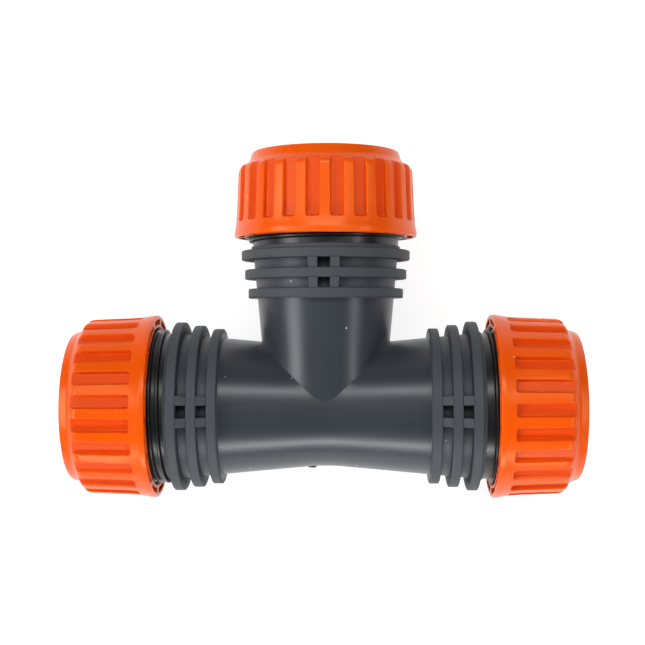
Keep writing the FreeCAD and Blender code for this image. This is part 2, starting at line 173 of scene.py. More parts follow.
class Effect:
    """A shader node group that more than one finish uses, built the first time it is asked for."""

    name: str = ""
    takes: dict[str, tuple[str, object]] = {}
    gives: dict[str, str] = {}

    @classmethod
    def group(cls) -> bpy.types.NodeTree:
        """Find the effect's node group, or build it.

        Returns:
            The group, the same one for every material.
        """
        found = bpy.data.node_groups.get(cls.name)
        if found is not None:
            return found
        tree = bpy.data.node_groups.new(cls.name, "ShaderNodeTree")
        for word, (kind, value) in cls.takes.items():
            socket = tree.interface.new_socket(word, in_out="INPUT", socket_type=kind)
            socket.default_value = value
        for word, kind in cls.gives.items():
            tree.interface.new_socket(word, in_out="OUTPUT", socket_type=kind)
        wiring = Wiring(tree)
        entry = wiring.add("NodeGroupInput").outputs
        results = cls.wire(wiring, entry)
        wiring.add("NodeGroupOutput", results)
        return tree

    @classmethod
    def wire(cls, wiring: Wiring, entry: bpy.types.NodeOutputs) -> dict[str, object]:
        """Build the inside of the group.

        Args:
            wiring: the group's own tree.
            entry: the sockets of its inputs.

        Returns:
            The socket that feeds each output.
        """
        raise NotImplementedError

    @classmethod
    def place(cls, wiring: Wiring, **feeds: object) -> bpy.types.NodeOutputs:
        """Put the effect in a material.

        Args:
            wiring: the material's tree.
            feeds: for each input, a socket to join or a value to set; the underscores in its
                name stand for spaces.

        Returns:
            The effect's outputs.
        """
        node = wiring.add("ShaderNodeGroup", node_tree=cls.group())
        for word, value in feeds.items():
            socket = node.inputs[word.replace("_", " ")]
            if isinstance(value, bpy.types.NodeSocket):
                wiring.tree.links.new(value, socket)
            else:
                socket.default_value = value
        return node.outputs


class ToneDrift(Effect):
    """Slow change of tone over a moulding, broad patches with finer ones on them."""

    name = "Tone drift"
    takes = {
        "Where": ("NodeSocketVector", (0.0, 0.0, 0.0)),
        "Colour": ("NodeSocketColor", (0.5, 0.5, 0.5, 1.0)),
        "Amount": ("NodeSocketFloat", 0.1),
        "Per Metre": ("NodeSocketFloat", 60.0),
    }
    gives = {"Colour": "NodeSocketColor", "Drift": "NodeSocketFloat"}
    fineness: float = 7.0
    fine_share: float = 0.15

    @classmethod
    def wire(cls, wiring: Wiring, entry: bpy.types.NodeOutputs) -> dict[str, object]:
        """Build the inside of the group.

        Args:
            wiring: the group's own tree.
            entry: the sockets of its inputs.

        Returns:
            The toned colour, and how far the tone has drifted from its middle.
        """
        broad = wiring.noise(entry["Where"], entry["Per Metre"], 1.0)
        fine_scale = wiring.maths("MULTIPLY", entry["Per Metre"], cls.fineness)
        fine = wiring.noise(entry["Where"], fine_scale, 1.0)
        both = wiring.maths("MULTIPLY_ADD", fine, cls.fine_share,
                            wiring.maths("MULTIPLY", broad, 1.0 - cls.fine_share))
        drift = wiring.maths("SUBTRACT", both, 0.5)
        swing = wiring.maths("MULTIPLY", drift, wiring.maths("MULTIPLY", entry["Amount"], 4.0))
        value = wiring.maths("ADD", swing, 1.0)
        shade = wiring.add("ShaderNodeHueSaturation", {"Value": value, "Color": entry["Colour"]})
        return {"Colour": shade.outputs[0], "Drift": drift}


class MouldGrain(Effect):
    """The fine texture that a steel mould leaves on plastic."""

    name = "Mould grain"
    takes = {
        "Where": ("NodeSocketVector", (0.0, 0.0, 0.0)),
        "Per Metre": ("NodeSocketFloat", 2500.0),
        "Depth": ("NodeSocketFloat", 0.00001),
    }
    gives = {"Height": "NodeSocketFloat"}
    fineness: float = 3.1
    fine_share: float = 0.35

    @classmethod
    def wire(cls, wiring: Wiring, entry: bpy.types.NodeOutputs) -> dict[str, object]:
        """Build the inside of the group.

        Args:
            wiring: the group's own tree.
            entry: the sockets of its inputs.

        Returns:
            The height of the grain, in metres.
        """
        coarse = wiring.noise(entry["Where"], entry["Per Metre"], 2.0, 0.55)
        tight = wiring.maths("MULTIPLY", entry["Per Metre"], cls.fineness)
        fine = wiring.noise(entry["Where"], tight, 1.0)
        both = wiring.maths("MULTIPLY_ADD", fine, cls.fine_share,
                            wiring.maths("MULTIPLY", coarse, 1.0 - cls.fine_share))
        return {"Height": wiring.maths("MULTIPLY", both, entry["Depth"])}


class EdgeWearAndGlint(Effect):
    """Where corners are paler, partly from handling wear and partly as a painted highlight
    where edges catch the light; and their softened normal.
    """

    name = "Edge wear and glint"
    takes = {
        "Where": ("NodeSocketVector", (0.0, 0.0, 0.0)),
        "Amount": ("NodeSocketFloat", 0.5),
    }
    gives = {"Wear and glint": "NodeSocketFloat", "Normal": "NodeSocketVector"}
    radius: float = 0.00022
    patches_per_metre: float = 420.0

    @classmethod
    def wire(cls, wiring: Wiring, entry: bpy.types.NodeOutputs) -> dict[str, object]:
        """Build the inside of the group.

        Args:
            wiring: the group's own tree.
            entry: the sockets of its inputs.

        Returns:
            How pale each corner is, from wear and painted highlight, and the normal with its
            corners softened.
        """
        soft = wiring.add("ShaderNodeBevel", {"Radius": cls.radius}, samples=6).outputs[0]
        plain = wiring.add("ShaderNodeNewGeometry").outputs["Normal"]
        dot = wiring.add("ShaderNodeVectorMath", {0: soft, 1: plain}, operation="DOT_PRODUCT")
        off = wiring.maths("SUBTRACT", 1.0, dot.outputs["Value"])
        # Corners found by the bevel turn pale: partly handling wear, partly a painted highlight
        # where edges catch the light.
        edge = wiring.ramp(off, 0.015, 0.16)
        patches = wiring.noise(entry["Where"], cls.patches_per_metre, 3.0, 0.6)
        patchy = wiring.ramp(patches, 0.35, 0.7)
        worn_and_glint = wiring.maths("MULTIPLY", edge, patchy)
        return {"Wear and glint": wiring.maths("MULTIPLY", worn_and_glint, entry["Amount"]), "Normal": soft}


class Crevice(Effect):
    """How open a place is to the room: 1 out on the skin, 0 deep between ribs or threads."""

    name = "Crevice"
    takes = {"Distance": ("NodeSocketFloat", 0.006)}
    gives = {"Open": "NodeSocketFloat"}
    shut: float = 0.08
    clear: float = 0.4

    @classmethod
    def wire(cls, wiring: Wiring, entry: bpy.types.NodeOutputs) -> dict[str, object]:
        """Build the inside of the group.

        Args:
            wiring: the group's own tree.
            entry: the sockets of its inputs.

        Returns:
            How open each place is.
        """
        # Ambient occlusion; the finishes use it to paint shade into crevices.
        room = wiring.add("ShaderNodeAmbientOcclusion", {"Distance": entry["Distance"]},
                          samples=8)
        return {"Open": wiring.ramp(room.outputs["AO"], cls.shut, cls.clear)}


class Handling(Effect):
    """Hairline scuffs and the odd pale speck, from a life in a parts bin."""

    name = "Handling marks"
    takes = {
        "Where": ("NodeSocketVector", (0.0, 0.0, 0.0)),
        "Scuffs": ("NodeSocketFloat", 0.3),
        "Specks": ("NodeSocketFloat", 0.5),
    }
    gives = {"Scuffs": "NodeSocketFloat", "Specks": "NodeSocketFloat"}
    strokes: tuple[tuple[float, Triple], ...] = (
        (0.5, (260.0, 3400.0, 900.0)), (2.1, (300.0, 2900.0, 1100.0)))
    patches_per_metre: float = 95.0
    specks_per_metre: float = 330.0
    ragged_per_metre: float = 2600.0
    rarity: float = 0.955

    @classmethod
    def wire(cls, wiring: Wiring, entry: bpy.types.NodeOutputs) -> dict[str, object]:
        """Build the inside of the group.

        Args:
            wiring: the group's own tree.
            entry: the sockets of its inputs.

        Returns:
            How scuffed each place is, and whether a speck lies there.
        """
        marks = []
        for turn, stretch in cls.strokes:
            lie = wiring.add("ShaderNodeMapping", {
                "Vector": entry["Where"], "Rotation": (turn, turn * 0.7, turn), "Scale": stretch})
            lines = wiring.noise(lie.outputs[0], 1.0, 1.0)
            marks.append(wiring.ramp(lines, 0.70, 0.76))
        patches = wiring.ramp(wiring.noise(entry["Where"], cls.patches_per_metre), 0.50, 0.64)
        lines = wiring.maths("MULTIPLY", wiring.maths("MAXIMUM", *marks), patches)
        cells = wiring.add("ShaderNodeTexVoronoi", {
            "Vector": entry["Where"], "Scale": cls.specks_per_metre})
        pick = wiring.add("ShaderNodeSeparateColor", {0: cells.outputs["Color"]}).outputs[0]
        chosen = wiring.maths("GREATER_THAN", pick, cls.rarity)
        ragged = wiring.noise(entry["Where"], cls.ragged_per_metre, 1.0)
        reach = wiring.maths("MULTIPLY_ADD", ragged, 0.16, cells.outputs["Distance"])
        dot = wiring.maths("MULTIPLY", wiring.ramp(reach, 0.19, 0.13), chosen)
        return {"Scuffs": wiring.maths("MULTIPLY", lines, entry["Scuffs"]),
                "Specks": wiring.maths("MULTIPLY", dot, entry["Specks"])}


# ---------------------------------------------------------------- finishes


@dataclass(frozen=True)
class MouldedPlastic:
    """Finish of an injection-moulded piece.

    Colours are linear.  The pale colour of scuffs and corners stands for handling wear, and on
    the corners partly for a painted highlight where edges catch the light.  Swing is how far the
    roughness drifts over the piece and drift how far the tone does.  Grain is given by its
    count per metre and its depth in metres.  Glow is the share of light that scatters inside.

    Where a piece has a dull part, dull_colour is that part's colour, dull is how much rougher
    it is, speckle how patchy its colour is, and pitting how much deeper its grain is.  Shine
    and tint are the strength and colour of reflections.  The share of painted shade in
    crevices is how much darker the plastic is painted deep between ribs or threads; it also
    loses its sheen there.
    """

    name: str
    colour: Colour
    worn_and_glint: Colour
    roughness: float
    swing: float = 0.36
    drift: float = 0.06
    grain_count: float = 2600.0
    grain_depth: float = 0.000006
    edge_wear_and_glint: float = 0.4
    scuffs: float = 0.3
    specks: float = 0.6
    glow: float = 0.0
    dull_colour: Colour | None = None
    dull: float = 0.14
    speckle: float = 0.3
    pitting: float = 2.2
    shine: float = 0.5
    tint: Colour = (1.0, 1.0, 1.0)
    painted_crevice_shade: float = 0.0
    crevice_dull: float = 0.6
    speck: Colour = (0.85, 0.8, 0.72)
    speckles_per_metre: float = 1500.0
    rubbed_dull: float = 0.12
    scuffed_dull: float = 0.2
    scuffed_pale: float = 0.6
    refraction: float = 1.49
    scatter: Colour = (1.0, 0.25, 0.08)
    scatter_reach: float = 0.0012

    def make(self) -> bpy.types.Material:
        """Make the finish.

        Returns:
            The finish as a Blender material.
        """
        material = bpy.data.materials.new(self.name)
        material.use_nodes = True
        wiring = Wiring(material.node_tree)
        where = wiring.add("ShaderNodeTexCoord").outputs["Object"]
        edge = EdgeWearAndGlint.place(wiring, Where=where, Amount=self.edge_wear_and_glint)
        marks = Handling.place(wiring, Where=where, Scuffs=self.scuffs, Specks=self.specks)
        grain = MouldGrain.place(wiring, Where=where, Per_Metre=self.grain_count,
                                 Depth=self.grain_depth)
        tone: object = (*self.colour, 1.0)
        height = grain["Height"]
        rough = wiring.maths("MULTIPLY", edge["Wear and glint"], self.rubbed_dull)
        zone, painted_light_and_shade = self.zones(wiring, where)
        if zone is not None and self.dull_colour is not None:
            speckle = wiring.ramp(
                wiring.noise(where, self.speckles_per_metre, 3.0, 0.65), 0.3, 0.75)
            patchy = wiring.maths("MULTIPLY_ADD", speckle, self.speckle, 1.0 - self.speckle / 2)
            tone = wiring.blend(wiring.maths("MULTIPLY", zone, patchy, clamp=True), tone,
                                (*self.dull_colour, 1.0))
            rough = wiring.maths("MULTIPLY_ADD", zone, self.dull, rough)
            height = wiring.maths("MULTIPLY", height, wiring.maths(
                "MULTIPLY_ADD", zone, self.pitting, 1.0))
        # Painted shade: the colour is darkened in crevices, where ambient occlusion finds little
        # room.
        room = Crevice.place(wiring)["Open"]
        shade = wiring.maths("MULTIPLY_ADD", room, self.painted_crevice_shade, 1.0 - self.painted_crevice_shade)
        drift = ToneDrift.place(wiring, Where=where, Colour=tone, Amount=self.drift)
        # Pale corners stand partly for handling wear and partly for a painted highlight; scuffs
        # and specks are real marks.
        pale = (*self.worn_and_glint, 1.0)
        rubbed_and_glinting = wiring.blend(edge["Wear and glint"], drift["Colour"], pale)
        scuff = wiring.maths("MULTIPLY", marks["Scuffs"], self.scuffed_pale)
        scuffed = wiring.blend(scuff, rubbed_and_glinting, pale)
        marked = wiring.blend(marks["Specks"], scuffed, (*self.speck, 1.0))
        # The colour's value carries the painted shade in crevices and any painted light and shade
        # of the piece's zones.
        colour = wiring.add("ShaderNodeHueSaturation", {
            "Value": wiring.maths("MULTIPLY", shade, painted_light_and_shade), "Color": marked}).outputs[0]
        rough = wiring.maths("MULTIPLY_ADD", drift["Drift"], self.swing, rough)
        rough = wiring.maths("MULTIPLY_ADD", marks["Scuffs"], self.scuffed_dull, rough)
        rough = wiring.maths("MULTIPLY_ADD", shade, -self.crevice_dull, rough)
        rough = wiring.maths("ADD", rough, self.roughness + self.crevice_dull, clamp=True)
        bump = wiring.add("ShaderNodeBump", {
            "Strength": 1.0, "Distance": 1.0, "Height": height, "Normal": edge["Normal"]})
        shader = wiring.add("ShaderNodeBsdfPrincipled", {
            "Base Color": colour, "Roughness": rough, "Normal": bump.outputs[0],
            "IOR": self.refraction, "Specular IOR Level": self.shine,
            "Specular Tint": (*self.tint, 1.0), "Subsurface Weight": self.glow,
            "Subsurface Radius": self.scatter, "Subsurface Scale": self.scatter_reach})
        wiring.add("ShaderNodeOutputMaterial", {"Surface": shader.outputs[0]})
        return material

    def zones(self, wiring: Wiring, where: bpy.types.NodeSocket) -> tuple[object, object]:
        """Which part is dull, and how painted light and shade change the tone over the piece.

        Args:
            wiring: the material's tree.
            where: the place on the piece.

        Returns:
            The socket that is 1 on the dull part, or None where the whole piece is alike; and
            a factor on the tone that paints light and shade, 1 where none is painted.
        """
        return None, 1.0


@dataclass(frozen=True)
class NutPlastic(MouldedPlastic):
    """Finish of a nut, dull on the floors of its grip recesses."""

    def zones(self, wiring: Wiring, where: bpy.types.NodeSocket) -> tuple[object, object]:
        """The dull part is the recess floors, as the nut's mesh marks them."""
        return wiring.add("ShaderNodeAttribute", attribute_name="recess").outputs["Fac"], 1.0


@dataclass(frozen=True)
class BodyPlastic(MouldedPlastic):
    """Finish of the body: dull ribs and collars, with painted light on the floors and collars
    and painted shade on the threads.

    First_rib, collar and thread are the reaches where those start; on the branch they lie
    further out by branch_extra.  Floor is the radius just above the floors between the ribs,
    and rise and step are how wide the changes across it and along the arm are.
    """

    first_rib: float = 0.0293
    collar: float = 0.0432
    thread: float = 0.0443
    branch_extra: float = 0.00157
    floor: float = 0.0211
    floor_dull: float = 0.45
    # Painted light: the floors between the ribs and the collars are made paler by this share.
    painted_floor_light: float = 0.5
    # Painted shade: the threads are darkened by this share.
    painted_thread_shade: float = -0.65
    rise: float = 0.0003
    step: float = 0.0001

    def zones(self, wiring: Wiring, where: bpy.types.NodeSocket) -> tuple[object, object]:
        """The ribs and collars are dull; floors and collars get painted light, threads painted
        shade.

        Args:
            wiring: the material's tree.
            where: the place on the body.

        Returns:
            The dull share and the factor on the tone that paints light and shade.
        """
        place = wiring.add("ShaderNodeSeparateXYZ", {"Vector": where}).outputs
        run = self.on_arm(wiring, where, wiring.maths("ABSOLUTE", place["X"]), (0.0, 1.0, 1.0))
        out = wiring.maths("SUBTRACT", place["Y"], self.branch_extra)
        branch = self.on_arm(wiring, where, out, (1.0, 0.0, 1.0))
        return tuple(wiring.maths(way, a, b) for way, a, b in
                     zip(("MAXIMUM", "MULTIPLY"), run, branch))

    def on_arm(self, wiring: Wiring, where: bpy.types.NodeSocket, reach: bpy.types.NodeSocket,
               across: Triple) -> tuple[bpy.types.NodeSocket, bpy.types.NodeSocket]:
        """The dull share and the painted light and shade on one arm, or on the two in line.

        Args:
            wiring: the material's tree.
            where: the place on the body.
            reach: how far out along the arm it is.
            across: 1 for each axis that lies across the arm, 0 for the other.

        Returns:
            The dull share and the factor on the tone that paints light and shade.
        """
        flat = wiring.add("ShaderNodeVectorMath", {0: where, 1: across}, operation="MULTIPLY")
        radius = wiring.add("ShaderNodeVectorMath", {0: flat.outputs[0]}, operation="LENGTH")
        low = wiring.ramp(radius.outputs["Value"], self.floor + self.rise, self.floor)
        thread = wiring.ramp(reach, self.thread, self.thread + self.step)
        past_first = wiring.ramp(reach, self.first_rib, self.first_rib + 2 * self.step)
        ribbed = wiring.maths("SUBTRACT", past_first, thread)
        dull = wiring.maths("MULTIPLY_ADD", low, self.floor_dull - 1.0, 1.0)
        collar = wiring.ramp(reach, self.collar, self.collar + self.step)
        # Painted light on the floors between the ribs and on the collars.
        pale = wiring.maths("MULTIPLY", ribbed, wiring.maths("MAXIMUM", low, collar))
        # Painted shade on the threads, then the painted light.
        painted_light_and_shade = wiring.maths("MULTIPLY_ADD", thread, self.painted_thread_shade, 1.0)
        painted_light_and_shade = wiring.maths("MULTIPLY_ADD", pale, self.painted_floor_light, painted_light_and_shade)
        return wiring.maths("MULTIPLY", ribbed, dull), painted_light_and_shade


@dataclass(frozen=True)
class TableTop:
    """Finish of the pale table that the tee lies on; lift is the light that it adds itself."""

    name: str = "pale_table"
    colour: Colour = (0.33, 0.33, 0.33)
    roughness: float = 0.6
    lift: float = 0.8
    drift: float = 0.004
    patches_per_metre: float = 4.0

    def make(self) -> bpy.types.Material:
        """Make the finish.

        Returns:
            The finish as a Blender material.
        """
        material = bpy.data.materials.new(self.name)
        material.use_nodes = True
        wiring = Wiring(material.node_tree)
        where = wiring.add("ShaderNodeTexCoord").outputs["Object"]
        drift = ToneDrift.place(wiring, Where=where, Colour=(*self.colour, 1.0),
                                Amount=self.drift, Per_Metre=self.patches_per_metre)
        shader = wiring.add("ShaderNodeBsdfPrincipled", {
            "Base Color": drift["Colour"], "Roughness": self.roughness,
            "Emission Color": (1.0, 1.0, 1.0, 1.0), "Emission Strength": self.lift})
        wiring.add("ShaderNodeOutputMaterial", {"Surface": shader.outputs[0]})
        return material


BODY = BodyPlastic(
    "grey_body_plastic", colour=(0.0255, 0.0315, 0.039), worn_and_glint=(0.085, 0.095, 0.10),
    roughness=0.31, swing=0.09, drift=0.05, grain_depth=0.000005, edge_wear_and_glint=0.35, scuffs=0.0,
    specks=0.5, dull_colour=(0.034, 0.041, 0.048), dull=0.30, shine=0.44, painted_crevice_shade=0.75)
NUT = NutPlastic(
    "orange_nut_plastic", colour=(0.73, 0.079, 0.0001), worn_and_glint=(0.9, 0.2, 0.05),
    roughness=0.28, swing=0.09, drift=0.02, grain_depth=0.000005, edge_wear_and_glint=0.1, scuffs=0.08,
    specks=0.45, glow=0.12, dull_colour=(0.66, 0.048, 0.0001), dull=0.08, pitting=14.0,
    speckle=0.9, shine=0.36, tint=(1.0, 0.78, 0.42), painted_crevice_shade=0.3)
RING = MouldedPlastic(
    "ivory_ring_plastic", colour=(0.78, 0.74, 0.64), worn_and_glint=(0.9, 0.87, 0.8), roughness=0.38,
    drift=0.03, specks=0.0, glow=0.15)
BUSH = MouldedPlastic(
    "black_bush_plastic", colour=(0.018, 0.018, 0.02), worn_and_glint=(0.09, 0.09, 0.1), roughness=0.42,
    specks=0.3)
SEAL = MouldedPlastic(
    "seal_rubber", colour=(0.012, 0.012, 0.012), worn_and_glint=(0.05, 0.05, 0.05), roughness=0.62,
    grain_count=3600.0, grain_depth=0.00001, edge_wear_and_glint=0.0, scuffs=0.1, specks=0.5)


# ---------------------------------------------------------------- the nuts


NUT_ROLLS = {Arm.LEFT: 6.6, Arm.RIGHT: -1.25, Arm.BRANCH: 8.4}


@dataclass
class ScrewNut:
    """A screw nut: flared band, gripping ribs, nose, rim hollows and a thread inside.

    Depth runs outward from the nut's inner edge, radius out from its axis, both in
    millimetres.  Angles are in degrees from the tee's upper side, turning the way that the
    thread drives the nut off.

    Shape is the nut's section without the bore and the rim: depth, radius and how far each
    corner is rounded.  Lip is the way from the bore to the rim, in depth and radius.  Hollow
    is the rows across the rim: radius, and share of a pocket's depth.  A pocket is a hollow of
    the rim, and the ridge is the thread's; its root and tip are half its width there.

    Recess_columns are how far from the middle of a recess the mesh's columns lie, in degrees,
    and pocket_columns how far from a pocket's wall, in shares of its softness.  The rows added
    near the start of a recess and past it are given by first, last and step.
    """

    arm: Arm
    roll: float
    finish: bpy.types.Material
    recess_count: int = 24
    recess_start: float = 4.35
    recess_half: float = 1.75
    recess_corner: float = 0.6
    recess_floor: float = 24.5
    recess_slope: float = 1.7
    wall_soft: float = 0.24
    pocket_count: int = 14
    pocket_half: float = 10.107
    pocket_soft: float = 0.5
    pocket_deep: float = 3.4
    lead: float = 2.15
    ridge_first: float = 1.7
    ridge_long: float = 9.4
    ridge_tall: float = 1.2
    ridge_root: float = 0.62
    ridge_tip: float = 0.25
    ridge_fade: float = 0.2
    bore: float = 22.5
    bore_depth: float = 12.85
    bore_start: float = 0.7
    bore_step: float = 0.25
    outer_limit: float = 20.9
    longest_edge: float = 2.6
    nose_step: float = 22.8
    sharp_from: float = 38.0
    recess_columns: tuple[float, ...] = (0.0, 2.2, 3.2, 3.55, 3.8, 4.0, 4.2, 4.45, 4.9, 7.5)
    pocket_columns: tuple[float, ...] = (-1.0, -0.3, 0.3, 1.0)
    closest_columns: float = 0.06
    rows_at_start: Triple = (-0.32, 1.0, 0.12)
    rows_past_start: Triple = (1.4, 14.15, 1.3)
    closest_rows: float = 0.03
    lip: tuple[Point, ...] = (
        (0.6, 22.5), (0.3, 22.8), (0.06, 23.04), (0.0, 23.15), (0.0, 23.45))
    hollow: tuple[Point, ...] = (
        (23.56, 0.02), (23.62, 0.08), (23.66, 0.5), (23.7, 0.93), (23.78, 0.985), (23.9, 1.0),
        (24.4, 1.0), (24.85, 1.0), (24.97, 0.985), (25.05, 0.93), (25.09, 0.5), (25.13, 0.08),
        (25.19, 0.02), (25.3, 0.0))
    shape: list[Corner] = field(default_factory=lambda: [
        (0.0, 26.3, 0.7), (1.4, 26.3, 0.5), (2.6, 26.05, 1.0), (4.4, 25.78, 1.0),
        (7.2, 25.55, 1.5), (10.3, 25.45, 1.0), (18.7, 25.12, 0.5), (19.5, 24.9, 0.4),
        (20.2, 24.4, 0.35), (20.8, 23.05, 0.3), (21.3, 22.5, 0.4), (22.0, 21.95, 0.4),
        (24.4, 21.15, 0.4), (24.4, 13.9, 0.12), (23.8, 13.3, 0.12), (23.2, 13.3, 0.1),
        (23.2, 16.6, 0.15), (14.0, 20.7, 0.3), (13.0, 22.5, 0.2)])

    def build(self) -> bpy.types.Object:
        """Make the nut in place of the CAD's, riding on its body.

        Returns:
            The nut's object.
        """
        angles = self.angles()
        depth, radius, recess = self.surface(angles)
        turned = np.radians(angles + self.roll)[None, :]
        reach = self.edge() / MM + depth
        points = np.stack([reach, -radius * np.sin(turned), radius * np.cos(turned)], axis=-1)
        mesh = self.skin(points.reshape(-1, 3) * MM, points.shape[:2])
        marks = mesh.attributes.new("recess", "FLOAT", "POINT")
        marks.data.foreach_set("value", recess.astype(np.float32).ravel())
        mesh.transform(self.arm.turn)
        mesh.materials.append(self.finish)
        piece = bpy.data.objects.new(f"{self.arm.word}_nut_moulding", mesh)
        bpy.context.scene.collection.objects.link(piece)
        body = f"{self.arm.word}_nut"
        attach(piece, body)
        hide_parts(body)
        return piece

    def edge(self) -> float:
        """Reach of the nut's inner edge along its arm, in metres, from the CAD's own nut.

        Returns:
            How far from the origin the edge nearest to it is.
        """
        low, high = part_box(f"{self.arm.word}_nut")
        out = self.arm.turn @ Vector((1.0, 0.0, 0.0))
        return min(abs(out @ low), abs(out @ high))

    def angles(self) -> np.ndarray:
        """Place the mesh's columns, close together at each recess and pocket wall.

        Returns:
            Their angles in rising order.
        """
        found = []
        for number in range(self.recess_count):
            centre = number * 360.0 / self.recess_count
            found += [centre + side * step for step in self.recess_columns for side in (1, -1)]
        for number in range(self.pocket_count):
            centre = number * 360.0 / self.pocket_count
            for side in (1, -1):
                wall = centre + side * self.pocket_half
                found += [wall + self.pocket_soft * share for share in self.pocket_columns]
        ordered = np.sort(np.array(found) % 360.0)
        apart = np.diff(ordered, append=ordered[0] + 360.0) > self.closest_columns
        return ordered[apart]

    def rows(self) -> tuple[np.ndarray, np.ndarray, np.ndarray, np.ndarray]:
        """The nut's section as a closed way round.

        Returns:
            For each row its depth, its radius, how far down a rim hollow it lies, and 1 where
            it is on the threaded bore.
        """
        outline = self.softened(self.shape)
        outer = [p for p in outline if p[1] > self.outer_limit]
        rest = [p for p in outline if p[1] <= self.outer_limit]
        way = [(d, r, 0.0, 0.0) for d, r in self.filled(outer)]
        way += [(d, r, 0.0, 0.0) for d, r in self.split(rest, self.longest_edge)]
        way += [(d, self.bore, 0.0, 1.0)
                for d in np.arange(self.bore_depth, self.bore_start, -self.bore_step)]
        way += [(d, r, 0.0, 0.0) for d, r in self.lip]
        way += [(0.0, r, share, 0.0) for r, share in self.hollow]
        return tuple(np.array(column) for column in zip(*way))

    @staticmethod
    def softened(corners: list[Corner], steps: int = 4) -> list[Point]:
        """Round the corners of a line.

        Args:
            corners: depth, radius and rounding of each corner.
            steps: how many edges each rounded corner has.

        Returns:
            The line's points.
        """
        line = []
        for number, (depth, radius, soft) in enumerate(corners):
            here = np.array((depth, radius))
            before = np.array(corners[number - 1][:2]) if number else here + (0.0, -1.0)
            after = np.array(corners[(number + 1) % len(corners)][:2])
            if number == len(corners) - 1:
                after = here + (-1.0, 0.0)
            lengths = [np.linalg.norm(before - here), np.linalg.norm(after - here)]
            back = min(soft, 0.45 * min(lengths))
            start = here + (before - here) / lengths[0] * back
            end = here + (after - here) / lengths[1] * back
            for share in np.linspace(0.0, 1.0, steps + 1):
                point = start * (1 - share)**2 + 2 * here * share * (1 - share) + end * share**2
                line.append(tuple(point))
        return line

    def filled(self, line: list[Point]) -> list[Point]:
        """Add rows to the outer line, closest at the ends of the recesses.

        Args:
            line: the line's points, in order of depth.

        Returns:
            The line with the added points.
        """
        depths = np.array([d for d, _ in line])
        extra = [self.recess_start + past for span in (self.rows_at_start, self.rows_past_start)
                 for past in np.arange(*span)]
        line = list(line)
        for depth in extra:
            at = int(np.searchsorted(depths, depth))
            (d0, r0), (d1, r1) = line[at - 1], line[at]
            if min(depth - d0, d1 - depth) < self.closest_rows:
                continue
            line.insert(at, (depth, r0 + (r1 - r0) * (depth - d0) / (d1 - d0)))
            depths = np.insert(depths, at, depth)
        return line

    @staticmethod
    def split(line: list[Point], longest: float) -> list[Point]:
        """Divide the long edges of a line evenly.

        Args:
            line: the line's points.
            longest: how long an edge may be.

        Returns:
            The line with the added points.
        """
        parts = []
        for here, there in zip(line, line[1:]):
            steps = max(1, math.ceil(math.dist(here, there) / longest))
            for step in range(steps):
                share = step / steps
                parts.append((here[0] + (there[0] - here[0]) * share,
                              here[1] + (there[1] - here[1]) * share))
        parts.append(line[-1])
        return parts

    def surface(self, angles: np.ndarray) -> tuple[np.ndarray, np.ndarray, np.ndarray]:
        """Lay out every point of the mesh.

        Args:
            angles: the angles of the columns.

        Returns:
            The depth, the radius and the recess share of each point, row by row.
        """
        depth, radius, hollow, bore = (column[:, None] for column in self.rows())
        recess = self.recess_share(depth, radius, angles)
        floor = self.floor_at(depth, angles)
        lowered = radius - np.maximum(radius - floor, 0.0) * recess
        ridge = self.ridge_at(depth, angles) * bore
        pocket = self.pocket_share(angles)[None, :]
        sunk = depth + hollow * pocket * self.pocket_deep
        return sunk, lowered - ridge, recess * (radius > floor)

    def from_recess(self, angles: np.ndarray) -> np.ndarray:
        """Each angle's distance from the middle of the nearest recess, in radians."""
        period = 360.0 / self.recess_count
        return np.radians((angles + period / 2) % period - period / 2)[None, :]

    def floor_at(self, depth: np.ndarray, angles: np.ndarray) -> np.ndarray:
        """Radius of the flat recess floors."""
        height = self.recess_floor - depth * math.tan(math.radians(self.recess_slope))
        return height / np.cos(self.from_recess(angles))

    def recess_share(self, depth: np.ndarray, radius: np.ndarray,
                     angles: np.ndarray) -> np.ndarray:
        """How far inside a recess each point is.

        Args:
            depth: the depth of each row.
            radius: the radius of each row.
            angles: the angles of the columns.

        Returns:
            1 inside a recess, 0 on a rib, the band or the nose, and smooth across the walls.
        """
        across = np.abs(radius * np.sin(self.from_recess(angles)))
        out_side = across - (self.recess_half - self.recess_corner)
        out_end = (self.recess_start + self.recess_corner) - depth
        gap = np.hypot(np.maximum(out_side, 0), np.maximum(out_end, 0)) - self.recess_corner
        gap = np.where((out_side < 0) & (out_end < 0),
                       np.maximum(out_side, out_end) - self.recess_corner, gap)
        share = np.clip((self.wall_soft - gap) / (2 * self.wall_soft), 0.0, 1.0)
        return share * share * (3 - 2 * share) * (radius > self.nose_step)

    def pocket_share(self, angles: np.ndarray) -> np.ndarray:
        """How far inside a hollow of the rim each column is.

        Args:
            angles: the angles of the columns.

        Returns:
            1 in a hollow, 0 on a web between two, and smooth across the walls.
        """
        period = 360.0 / self.pocket_count
        away = np.abs((angles + period / 2) % period - period / 2)
        share = np.clip((self.pocket_half + self.pocket_soft - away) / (2 * self.pocket_soft),
                        0.0, 1.0)
        return share * share * (3 - 2 * share)

